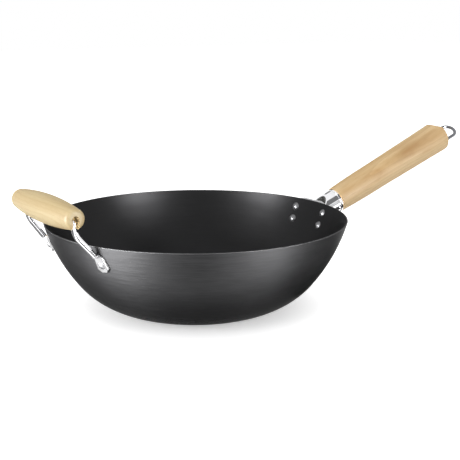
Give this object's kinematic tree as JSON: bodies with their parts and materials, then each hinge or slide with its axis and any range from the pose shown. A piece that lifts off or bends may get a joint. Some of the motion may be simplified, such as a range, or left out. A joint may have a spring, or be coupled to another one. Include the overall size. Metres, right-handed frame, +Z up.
{
  "type": "wok",
  "caption": "Round carbon steel pan with a small flat base, for stir-frying over high heat, with a long wooden handle in a riveted ferrule and a wooden helper handle on a bent wire",
  "frame": {"origin": "Centre of the flat base, on its underside, where the wok stands", "axes": "+X points from the centre of the bowl towards the long handle, +Z up out of the bowl's mouth, +Y to the left when looking along +X"},
  "size_m": [0.6363, 0.3558, 0.1905],
  "materials": {
    "carbon_steel": "bare rolled steel in dark charcoal, finely brushed round the outside",
    "steel_plate": "plain satin steel",
    "chromed_steel": "bright chromed steel",
    "rivet_steel": "satin domed steel",
    "handle_wood": "warm tan hardwood, thin clear coat",
    "grip_wood": "pale cream hardwood, thin clear coat"
  },
  "bodies": {
    "root": {"wok_bowl": "carbon_steel", "handle_plate": "steel_plate", "handle_ferrule": "chromed_steel", "handle_rivets": "rivet_steel", "wooden_handle": "handle_wood", "handle_nail": "chromed_steel", "hanging_loop": "chromed_steel", "helper_wire": "chromed_steel", "helper_rivets": "rivet_steel", "helper_grip": "grip_wood"}
  },
  "joints": []
}
